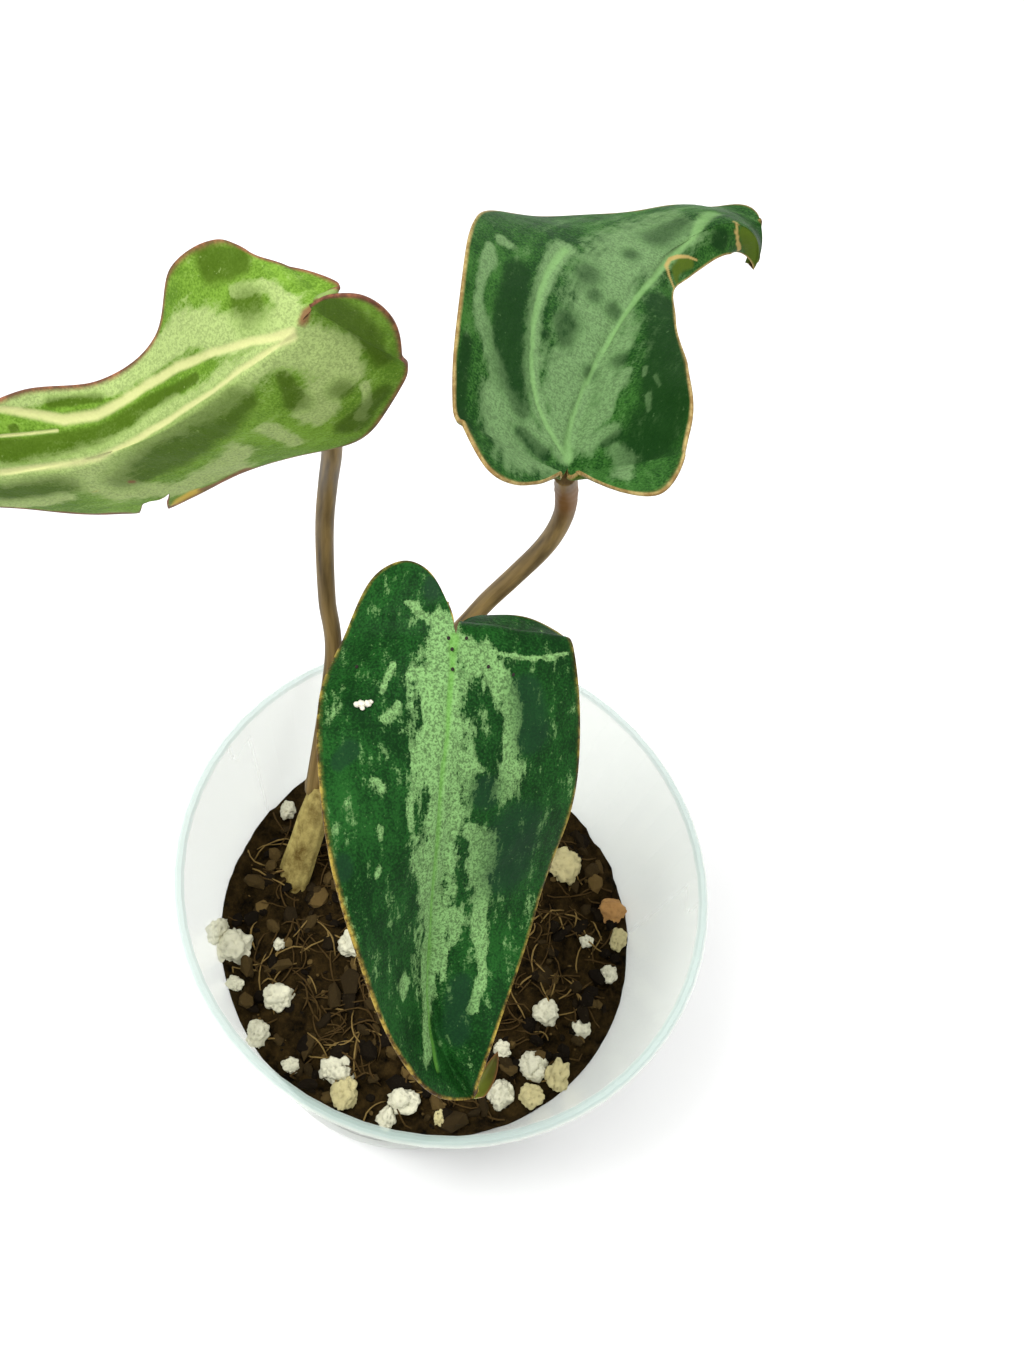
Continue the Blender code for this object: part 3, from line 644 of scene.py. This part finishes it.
            ((-236, 400, 9), (-240, 450, 9), (-243, 495, 8)),
            ((-241, 633, 11), (-226, 668, 11), (-204, 702, 11), (-180, 729, 10)),
        ),
    },
}


# A smooth curve through the values, read at places counted from the first one
def smooth_curve(values, places):
    values = np.asarray(values, float)
    last = len(values) - 1
    base = np.clip(np.floor(places).astype(int), 0, last - 1)
    part = (places - base)[:, None]
    before = values[np.clip(base - 1, 0, last)]
    start = values[base]
    end = values[base + 1]
    after = values[np.clip(base + 2, 0, last)]
    before = np.where((base == 0)[:, None], 2 * start - end, before)
    after = np.where((base == last - 1)[:, None], 2 * end - start, after)
    cubic = 3 * start - before - 3 * end + after
    square = 2 * before - 5 * start + 4 * end - after
    return 0.5 * (2 * start + (end - before) * part + square * part**2 + cubic * part**3)


def angles_along(degrees, along):
    places = np.interp(along, STATIONS, np.arange(len(STATIONS)))
    return np.radians(smooth_curve(np.asarray(degrees, float)[:, None], places)[:, 0])


# The midrib's line and the blade's directions along it
def blade_frame(leaf):
    along = np.linspace(STATIONS[0], 1.0, MIDRIB_STEPS)
    heading = angles_along(leaf["heading"], along)
    dip = angles_along(leaf["dip"], along)
    roll = angles_along(leaf["roll"], along)[:, None]
    forward = np.stack([np.sin(heading) * np.cos(dip), np.cos(heading) * np.cos(dip), -np.sin(dip)], 1)
    flat = np.stack([np.cos(heading), -np.sin(heading), 0 * heading], 1)
    sideways = np.cos(roll) * flat + np.sin(roll) * np.cross(flat, forward)
    up = np.cross(sideways, forward)
    steps = np.diff(along)[:, None] * leaf["length"] * 0.5 * (forward[1:] + forward[:-1])
    line = np.concatenate([np.zeros((1, 3)), np.cumsum(steps, 0)])
    joint = np.array([np.interp(0.0, along, line[:, k]) for k in range(3)])
    line += np.array(leaf["joint"]) - joint
    return along, line, forward, sideways, up


# Places on the bent blade, from the flat distances out from the midrib and on along it
def blade_points(leaf, out, on, side):
    along, *parts = blade_frame(leaf)
    spread = [np.stack([np.interp(on, along, part[:, k]) for k in range(3)], 1) for part in parts]
    line, forward, sideways, up = spread
    length = leaf["length"]
    fold = angles_along(leaf["fold"][side], on)
    cup = angles_along(leaf["cup"][side], on)
    curl = np.where(np.abs(cup) < 0.0001, 0.0001, cup) / (WIDEST * length)
    flat = np.sin(curl * out * length) / curl
    rise = (1 - np.cos(curl * out * length)) / curl
    reach = flat * np.cos(fold) - rise * np.sin(fold)
    lift = flat * np.sin(fold) + rise * np.cos(fold)
    behind = np.clip(-on, 0.0, None)
    bend = math.radians(leaf["lobe"][side]) * np.clip(behind / 0.06, 0.0, 1.0)
    lift = lift + behind * length * np.sin(bend)
    shift = behind * length * (1 - np.cos(bend))
    across = side * reach[:, None] * sideways
    return line + across + lift[:, None] * up + shift[:, None] * forward, up


def half_blade(leaf, side):
    last = len(HALF_OUTLINE) - 1
    row_spread = leaf.get("row_spread", ((0, 1), (FIRST_ROW, last)))
    rows = np.interp(np.linspace(0, 1, BLADE_ROWS), *row_spread)
    outline = np.array(HALF_OUTLINE, float)
    outline[:, 0] *= np.array(leaf["edge"][side], float)
    outline[:, 1] += np.array(leaf["slide"][side], float)
    edge = smooth_curve(outline, rows)
    edge[:, 0] = np.abs(edge[:, 0])
    root = np.clip((rows - LOBE_END) / (last - LOBE_END), 0.0, 1.0)
    fade = np.sin(np.pi * rows / last)
    share = np.linspace(0.0, 1.0, BLADE_COLUMNS)[None, :]
    out = edge[:, :1] * share
    on = root[:, None] + (edge[:, 1:] - root[:, None]) * share
    if side < 0 and "bite" in leaf:
        places, outward, onward = np.array(leaf["bite"]).T
        outer = np.clip((share - 0.8) / 0.2, 0.0, 1.0)
        out = out + outer * np.interp(rows, places, outward)[:, None]
        on = on + outer * np.interp(rows, places, onward)[:, None]
    out = out.ravel()
    on = on.ravel()
    spots, up = blade_points(leaf, out, on, side)
    wave = EDGE_WAVE * share**3 * (fade * np.sin(rows * leaf["waves"] * 0.55 + side))[:, None]
    spots = spots + wave.ravel()[:, None] * up
    width = np.hypot(edge[:, 0], edge[:, 1] - root) * leaf["length"]
    to_edge = (1 - share) * width[:, None]
    to_edge[0] = 0.0
    return spots, side * out, on, to_edge.ravel()


# How far each place lies in one of the strokes, from 0 to 1
def stroke_mask(across_blade, along_blade, strokes, soft):
    mask = np.zeros(len(across_blade))
    for stroke in strokes:
        pts = np.array(stroke, float) / 1000.0
        if len(pts) == 1:
            pts = np.concatenate([pts, pts + np.array([[0.0, 0.004, 0.0]])])
        for a, b in zip(pts, pts[1:]):
            run = b[:2] - a[:2]
            square = max(float(run @ run), 1e-9)
            from_x, from_y = across_blade - a[0], along_blade - a[1]
            part = np.clip((from_x * run[0] + from_y * run[1]) / square, 0, 1)
            away = np.hypot(from_x - part * run[0], from_y - part * run[1])
            ratio = away / (a[2] + (b[2] - a[2]) * part)
            mask = np.maximum(mask, np.clip((1 + soft - ratio) / (2 * soft), 0, 1))
    return mask * mask * (3 - 2 * mask)


def blade_look(name, colours):
    look = new_look(name, 0.5, 0.06)
    nodes, links = look.node_tree.nodes, look.node_tree.links
    where = nodes.new("ShaderNodeTexCoord")
    place = where.outputs["Object"]
    squeeze = nodes.new("ShaderNodeMapping")
    squeeze.inputs["Scale"].default_value = (1.0, 0.28, 1.0)
    links.new(where.outputs["UV"], squeeze.inputs["Vector"])

    def sums(kind, first, second):
        step = nodes.new("ShaderNodeMath")
        step.operation = kind
        for socket, value in zip(step.inputs, (first, second)):
            if isinstance(value, (int, float)):
                socket.default_value = value
            else:
                links.new(value, socket)
        return step.outputs[0]

    def between(value, low, high):
        step = nodes.new("ShaderNodeMapRange")
        step.interpolation_type = "SMOOTHSTEP"
        step.inputs["From Min"].default_value = low
        step.inputs["From Max"].default_value = high
        links.new(value, step.inputs["Value"])
        return step.outputs["Result"]

    def blend(factor, first, second):
        step = nodes.new("ShaderNodeMix")
        step.data_type = "RGBA"
        links.new(factor, step.inputs["Factor"])
        for socket, value in ((step.inputs[6], first), (step.inputs[7], second)):
            if isinstance(value, tuple):
                socket.default_value = (*value, 1.0)
            else:
                links.new(value, socket)
        return step.outputs[2]

    def painted(attribute):
        source = nodes.new("ShaderNodeAttribute")
        source.attribute_name = attribute
        split = nodes.new("ShaderNodeSeparateColor")
        links.new(source.outputs["Color"], split.inputs["Color"])
        return (*split.outputs, source.outputs["Alpha"])

    def swing(value, amount):
        return sums("MULTIPLY", sums("SUBTRACT", value, 0.5), amount)

    silver, vein, dark, rust = painted("bands")
    margin, under, gold = painted("edges")[:3]
    blotch = add_noise(look, place, 75.0, 7.0, 0.62)
    flecks = add_noise(look, place, 420.0, 8.0, 0.75)
    cells = add_noise(look, place, 3000.0, 2.0, 0.6)
    dust = add_noise(look, place, 1300.0, 3.0, 0.6)
    streaks = add_noise(look, squeeze.outputs["Vector"], 520.0, 6.0, 0.66)

    tone = sums("ADD", sums("ADD", blotch, swing(streaks, 0.7)), swing(cells, 0.9))
    colour = blend(between(tone, 0.25, 0.78), colours["deep"], colours["body"])
    smudge = sums("ADD", dark, sums("ADD", swing(blotch, 1.1), swing(flecks, 0.7)))
    smudge = sums("MULTIPLY", between(smudge, 0.25, 0.85), colours["dark_strength"])
    colour = blend(smudge, colour, colours["dark"])
    colour = blend(sums("MULTIPLY", between(dust, 0.66, 0.74), 0.30), colour, colours["silver"])
    speckle = colours["speckle"]
    ragged = sums("ADD", sums("MULTIPLY", silver, 1.2), swing(flecks, 1.6 * speckle))
    frayed = sums("ADD", swing(streaks, 2.4 * speckle), swing(cells, 0.9 * speckle))
    ragged = sums("ADD", ragged, frayed)
    veil = between(ragged, 0.5 - 0.5 * colours["veil_soft"], 0.5 + 0.5 * colours["veil_soft"])
    pepper = sums("MULTIPLY", between(sums("ADD", cells, swing(dust, 0.5)), 0.36, 0.66), colours["pepper"])
    veil = sums("MULTIPLY", veil, sums("SUBTRACT", 1.0, sums("MULTIPLY", dark, 0.7)))
    silvered = blend(pepper, colours["silver"], tuple(0.33 * c for c in colours["silver"]))
    colour = blend(sums("MULTIPLY", veil, 0.95), colour, silvered)
    line = between(sums("ADD", vein, sums("MULTIPLY", vein, swing(flecks, 1.2))), 0.05, 0.95)
    colour = blend(sums("MULTIPLY", line, colours["vein_strength"]), colour, colours["vein"])
    back = blend(between(blotch, 0.3, 0.7), colours["under"], tuple(0.75 * c for c in colours["under"]))
    back = blend(sums("MULTIPLY", vein, 0.5), back, colours["vein"])
    colour = blend(under, colour, back)
    colour = blend(sums("MULTIPLY", gold, 0.9), colour, colours["gold"])
    colour = blend(sums("MULTIPLY", rust, 0.85), colour, colours["rust"])
    rim = blend(between(flecks, 0.42, 0.62), colours["margin_dark"], colours["margin"])
    colour = blend(margin, colour, rim)
    links.new(colour, nodes["Principled BSDF"].inputs["Base Color"])
    add_bump(look, sums("ADD", dust, sums("MULTIPLY", flecks, 0.8)), 0.6, 0.20)
    return look


for label, leaf in BLADES.items():
    palette = leaf["palette"]
    work = bmesh.new()
    bands = work.verts.layers.float_color.new("bands")
    edges = work.verts.layers.float_color.new("edges")
    relief = work.verts.layers.float.new("relief")
    mark = work.verts.layers.int.new("mark")
    flat_place = work.verts.layers.float_vector.new("flat_place")
    uv = work.loops.layers.uv.new("UVMap")
    for side in (1, -1):
        spots, across_blade, along_blade, to_edge = half_blade(leaf, side)
        silver, vein, dark, gold, rust, curled = [
            stroke_mask(across_blade, along_blade, leaf.get(kind, ()), soft)
            for kind, soft in (("silver", palette["silver_soft"]), *STROKE_SOFTNESS)
        ]
        margin = np.clip(1.25 - to_edge / (palette["margin_width"] * MM), 0, 1)
        rib = np.exp(-((across_blade / 0.012) ** 2)) * np.clip(along_blade / 0.05, 0, 1)
        net = {"x_segments": BLADE_COLUMNS - 1, "y_segments": BLADE_ROWS - 1}
        made = bmesh.ops.create_grid(work, **net, size=0.5)["verts"]
        for vert in made:
            column = round((vert.co.x + 0.5) * net["x_segments"])
            row = round((vert.co.y + 0.5) * net["y_segments"])
            k = row * BLADE_COLUMNS + column
            vert.co = spots[k]
            vert[bands] = (silver[k], vein[k], dark[k], rust[k])
            vert[edges] = (margin[k], curled[k], gold[k], 1.0)
            vert[relief] = rib[k]
            vert[flat_place] = (across_blade[k] * leaf["length"], along_blade[k] * leaf["length"], 0.0)
        if side < 0:
            faces = {face for vert in made for face in vert.link_faces}
            bmesh.ops.reverse_faces(work, faces=list(faces))
    bmesh.ops.remove_doubles(work, verts=work.verts, dist=0.0001 * MM)
    work.normal_update()
    centre_up = Vector(blade_frame(leaf)[4][JOINT_STEP])
    if sum(face.normal.dot(centre_up) * face.calc_area() for face in work.faces) < 0:
        bmesh.ops.reverse_faces(work, faces=work.faces)
        work.normal_update()
    joint = Vector(leaf["joint"])
    normals = {}
    for vert in work.verts:
        apart = min(1.0, max(0.0, ((vert.co - joint).length / MM - 1.2) / 2.5))
        normals[vert] = centre_up.lerp(vert.normal, apart).normalized()
        vert[relief] *= apart
    for vert, way in normals.items():
        pucker = noise.noise(vert.co / (4.0 * MM)) * 0.16 + noise.noise(vert.co / (1.7 * MM)) * 0.05
        calm = (1.0 - vert[edges][0]) * min(1.0, (vert.co - joint).length / (3.0 * MM))
        vert.co += way * MM * calm * (pucker - 0.30 * vert[bands][1] - 0.25 * vert[relief])
    ways = []
    for k, vert in enumerate(work.verts):
        ways.append(normals[vert])
        vert[mark] = k
    grown = bmesh.ops.extrude_face_region(work, geom=list(work.faces), use_keep_orig=True)["geom"]
    for vert in [item for item in grown if isinstance(item, bmesh.types.BMVert)]:
        at_edge = vert[edges][0]
        thick = EDGE_THICKNESS + BODY_THICKNESS * (1 - at_edge) + MIDRIB_THICKNESS * vert[relief]
        vert.co -= ways[vert[mark]] * thick * MM
        vert[edges] = (at_edge, 1.0, 0.0, 1.0)
    bmesh.ops.recalc_face_normals(work, faces=work.faces)
    for face in work.faces:
        for loop in face.loops:
            loop[uv].uv = loop.vert[flat_place].xy
    blade = finished(work, f"leaf_{label}")
    blade.data.materials.append(blade_look(f"leaf_{label}", palette))
    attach(blade, "root")
    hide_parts(f"blade_{label}")


# Tip curl: the narrow tip of the front blade curls under and back, and shows its olive underside.
# It is living leaf too, thinner than the blade that it ends.
CURL_LINE = (
    (14.4, -41.4, 92.0), (14.9, -40.6, 90.4), (15.5, -38.2, 90.0), (15.9, -35.8, 90.8),
    (16.1, -33.4, 92.6),
)
CURL_HALF_WIDTH = 1.65 * MM
CURL_THICKNESS = 0.35 * MM
CURL_ROWS = 40
CURL_COLUMNS = 17
CURL_GREEN = Vector((0.27, 0.33, 0.03))
CURL_BROWN = Vector((0.09, 0.065, 0.008))
CURL_EDGE = Vector((0.30, 0.12, 0.03))
CURL_ACROSS = Vector((0.93, 0.25, 0.28))
curl_line = smooth_curve(CURL_LINE, np.linspace(0, len(CURL_LINE) - 1, CURL_ROWS)) * MM
work = bmesh.new()
tone = work.verts.layers.float_color.new("tone")
bmesh.ops.create_grid(work, x_segments=CURL_COLUMNS - 1, y_segments=CURL_ROWS - 1, size=0.5)
for vert in work.verts:
    share, side = vert.co.y + 0.5, 2.0 * vert.co.x
    spot = curl_line[round(share * (CURL_ROWS - 1))]
    width = CURL_HALF_WIDTH * max(0.03, math.sin(math.pi * min(1.0, 0.18 + 0.82 * share)) ** 0.8)
    edge = min(1.0, max(0.0, 3.0 * abs(side) - 1.9) + max(0.0, share * 6.0 - 5.2))
    mottle = 0.5 + 0.5 * noise.noise(Vector((side * 2.0, share * 7.0, 3.0)))
    withered = min(1.0, max(0.0, share * 1.3 - 0.55 + 0.4 * mottle))
    vert[tone] = (*CURL_GREEN.lerp(CURL_BROWN, withered).lerp(CURL_EDGE, edge), 1.0)
    vert.co = Vector(spot) + CURL_ACROSS * side * width
    vert.co.z += 0.7 * side * side * width
grown = bmesh.ops.extrude_face_region(work, geom=list(work.faces), use_keep_orig=True)["geom"]
for vert in [item for item in grown if isinstance(item, bmesh.types.BMVert)]:
    vert.co.z -= CURL_THICKNESS
bmesh.ops.recalc_face_normals(work, faces=work.faces)
curl = finished(work, "tip_curl")
curl.data.materials.append(tone_look("tip_curl", 0.55))
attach(curl, "root")


# Stalks: three slender olive-brown petioles with fine lengthwise fibres.
# Each grows from the crown to its blade, and is slightly swollen below the joint.
# The points of their paths are in millimetres.
STALKS = {
    "front": ((-25.3, 13.3, 61.3), (-22.5, 15.2, 80.0), (-17.0, 15.0, 100.0), (-12.5, 11.5, 121.0)),
    "right": (
        (-26.1, 16.9, 61.3), (-21.0, 23.5, 80.0), (-16.0, 26.5, 95.0), (-11.0, 27.1, 109.0),
        (-8.0, 28.3, 118.0), (-5.2, 28.7, 126.0), (-2.3, 29.2, 134.5), (-1.0, 29.0, 141.0),
        (-0.7, 28.5, 147.0), (-1.4, 26.8, 154.0),
    ),
    "left": (
        (-29.5, 14.9, 61.3), (-32.1, 28.6, 83.0), (-35.2, 31.8, 97.0), (-36.8, 32.9, 110.0),
        (-37.3, 32.8, 120.0), (-37.1, 32.0, 130.0), (-35.9, 28.0, 142.9), (-35.8, 25.7, 152.0),
        (-36.8, 24.6, 159.1),
    ),
}
STALK_END_BELOW_JOINT = {"front": 3.4, "right": 1.3, "left": 3.2}
STALK_RADIUS = 1.55
STALK_RINGS = 150
STALK_SIDES = 20
STALK_DARK, STALK_LIGHT = (0.065, 0.040, 0.010), (0.25, 0.165, 0.055)
SWELLING_RUST = (0.17, 0.078, 0.018, 1.0)
stalk_look = new_look("stalk", 0.5, 0.2)
nodes, links = stalk_look.node_tree.nodes, stalk_look.node_tree.links
where = nodes.new("ShaderNodeAttribute")
where.attribute_name = "lengthwise"
stretch = nodes.new("ShaderNodeMapping")
stretch.inputs["Scale"].default_value = (1.0, 1.0, 0.08)
links.new(where.outputs["Vector"], stretch.inputs["Vector"])
streaks = add_noise(stalk_look, stretch.outputs["Vector"], 900.0, 5.0)
rusty = nodes.new("ShaderNodeAttribute")
rusty.attribute_name = "rust"
mixed = nodes.new("ShaderNodeMix")
mixed.data_type = "RGBA"
mixed.inputs[7].default_value = SWELLING_RUST
links.new(rusty.outputs["Fac"], mixed.inputs["Factor"])
links.new(two_tones(stalk_look, streaks, STALK_DARK, STALK_LIGHT, 0.33, 0.66), mixed.inputs[6])
links.new(mixed.outputs[2], nodes["Principled BSDF"].inputs["Base Color"])
add_bump(stalk_look, streaks, 0.5, 0.2)

for label, path in STALKS.items():
    leaf = BLADES[label]
    up = blade_frame(leaf)[4][JOINT_STEP]
    root = np.array(path[0]) - np.array([0.0, 0.0, 1.6])
    end = np.array(leaf["joint"]) / MM - up * STALK_END_BELOW_JOINT[label]
    whole = [root, *np.array(path), end]
    centres = smooth_curve(whole, np.linspace(0, len(whole) - 1, STALK_RINGS)) * MM
    work = bmesh.new()
    rust = work.verts.layers.float.new("rust")
    lengthwise = work.verts.layers.float_vector.new("lengthwise")
    ring_verts = []
    side_way = Vector((1.0, 0.0, 0.0))
    for k in range(STALK_RINGS):
        share = k / (STALK_RINGS - 1)
        way = Vector(centres[min(k + 1, STALK_RINGS - 1)] - centres[max(k - 1, 0)]).normalized()
        side_way = (side_way - way * side_way.dot(way)).normalized()
        other = way.cross(side_way)
        swell = math.exp(-(((share - 0.90) / 0.07) ** 2))
        radius = STALK_RADIUS + 0.3 * math.exp(-share * 22) + (0.2 if label == "right" else 0.05) * swell
        made = bmesh.ops.create_circle(work, segments=STALK_SIDES, radius=1.0)["verts"]
        for vert in made:
            turn = math.atan2(vert.co.y, vert.co.x)
            groove = 1.0 - 0.07 * max(0.0, math.cos(turn - 1.2)) ** 4
            spot = Vector((math.cos(turn) * 2, math.sin(turn) * 2, share * 60))
            rough = (0.10 if label == "right" else 0.03) * swell * noise.noise(spot)
            reach = radius * MM * groove * (1.0 + rough)
            vert.co = Vector(centres[k]) + (side_way * math.cos(turn) + other * math.sin(turn)) * reach
            vert[lengthwise] = Vector((1.5 * math.cos(turn), 1.5 * math.sin(turn), 0.7 * k)) * MM
            vert[rust] = min(1.0, swell * 1.2) if label == "right" else swell * 0.3
        ring_verts.append(made)
    rings = [list({edge for vert in ring for edge in vert.link_edges}) for ring in ring_verts]
    for low, high in zip(rings, rings[1:]):
        bmesh.ops.bridge_loops(work, edges=low + high)
    for ring in (rings[0], rings[-1]):
        bmesh.ops.contextual_create(work, geom=ring)
    bmesh.ops.recalc_face_normals(work, faces=work.faces)
    stalk = finished(work, f"stalk_{label}")
    stalk.data.materials.append(stalk_look)
    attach(stalk, "root")
    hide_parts(f"petiole_{label}")


# Crumb: a few grains of perlite, stuck together, that have fallen on the front blade.
# They rest on its left half, as seen from the front.
CRUMB_OUT, CRUMB_ON = 0.174, 0.131
CRUMB_GRAINS = (
    (0.0, 0.0, 0.52), (0.75, 0.35, 0.5), (-0.6, -0.3, 0.42), (0.3, -0.6, 0.33), (1.1, 0.75, 0.3),
)
leaf = BLADES["front"]
spot = Vector(blade_points(leaf, np.array([CRUMB_OUT]), np.array([CRUMB_ON]), 1)[0][0])
work = bmesh.new()
for x, y, size in CRUMB_GRAINS:
    made = bmesh.ops.create_icosphere(work, subdivisions=3, radius=1.0)["verts"]
    centre = spot + Vector((x, y, 0.35)) * MM
    for vert in made:
        way = vert.co.normalized()
        bulge = 1.0 + 0.4 * noise.noise(way * 2.4 + Vector((x * 9, y * 7, 1.0)))
        vert.co = centre + Vector((way.x, way.y, way.z * 0.7)) * size * MM * bulge
crumb = finished(work, "crumb")
crumb.data.materials.append(new_look("crumb", 0.9, colour=(0.74, 0.70, 0.58)))
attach(crumb, "root")

# Specks: dark bits of the mix that lie about the joint of the front blade.
# Their places are across and along the blade, in thousandths of its length.
SPECKS = ((14, 6), (8, 28), (8, 66), (-115, 69), (-63, 57), (184, 53), (-20, 5))
SPECK_RADIUS = 0.24 * MM
work = bmesh.new()
for across, along in SPECKS:
    side = 1 if across > 0 else -1
    place = np.array([abs(across), along])[:, None] / 1000.0
    spot = Vector(blade_points(leaf, *place, side)[0][0])
    made = bmesh.ops.create_icosphere(work, subdivisions=2, radius=SPECK_RADIUS)["verts"]
    for vert in made:
        vert.co = spot + Vector((vert.co.x, 1.3 * vert.co.y, 0.8 * vert.co.z))
specks = finished(work, "specks", smooth=False)
specks.data.materials.append(new_look("specks", 0.9, colour=(0.012, 0.006, 0.004)))
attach(specks, "root")
